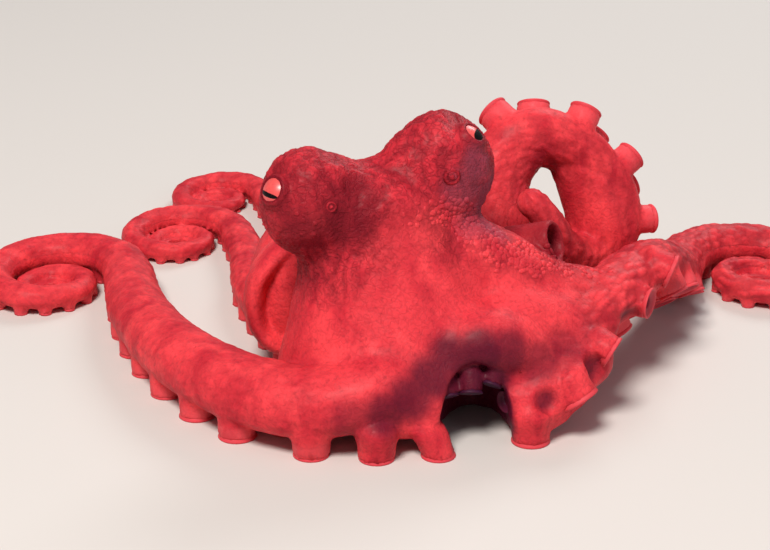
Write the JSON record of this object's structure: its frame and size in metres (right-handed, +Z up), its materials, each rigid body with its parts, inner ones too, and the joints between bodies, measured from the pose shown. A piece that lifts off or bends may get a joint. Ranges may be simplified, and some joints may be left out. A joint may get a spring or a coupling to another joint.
{
  "type": "octopus",
  "caption": "Live octopus resting on its arms: raised eyes, a low sac of a mantle behind, one arm arched up and the arm ends laid in flat coils.",
  "frame": {"origin": "bottom centre of the model's box, on the surface that it rests on", "axes": "+Z up, -Y the way that the animal faces, +X its left"},
  "size_m": [0.4956, 0.394, 0.1511],
  "materials": {
    "skin": "wet, finely wrinkled skin, paler round the suckers",
    "eye": "wet and glossy, with a dark slit of a pupil"
  },
  "bodies": {
    "root": {"head": "skin", "crown": "skin", "mantle": "skin", "funnel": "skin", "eye_right": "eye", "eye_left": "eye", "arm_right_1_base": "skin", "arm_right_1_middle": "skin", "arm_right_1_tip": "skin", "arm_right_2_base": "skin", "arm_right_2_middle": "skin", "arm_right_2_tip": "skin", "arm_right_3_base": "skin", "arm_right_3_middle": "skin", "arm_right_3_tip": "skin", "arm_right_4_base": "skin", "arm_right_4_middle": "skin", "arm_right_4_tip": "skin", "arm_left_1_base": "skin", "arm_left_1_middle": "skin", "arm_left_1_tip": "skin", "arm_left_2_base": "skin", "arm_left_2_middle": "skin", "arm_left_2_tip": "skin", "arm_left_3_base": "skin", "arm_left_3_middle": "skin", "arm_left_3_tip": "skin", "arm_left_4_base": "skin", "arm_left_4_middle": "skin", "arm_left_4_tip": "skin"}
  },
  "joints": []
}
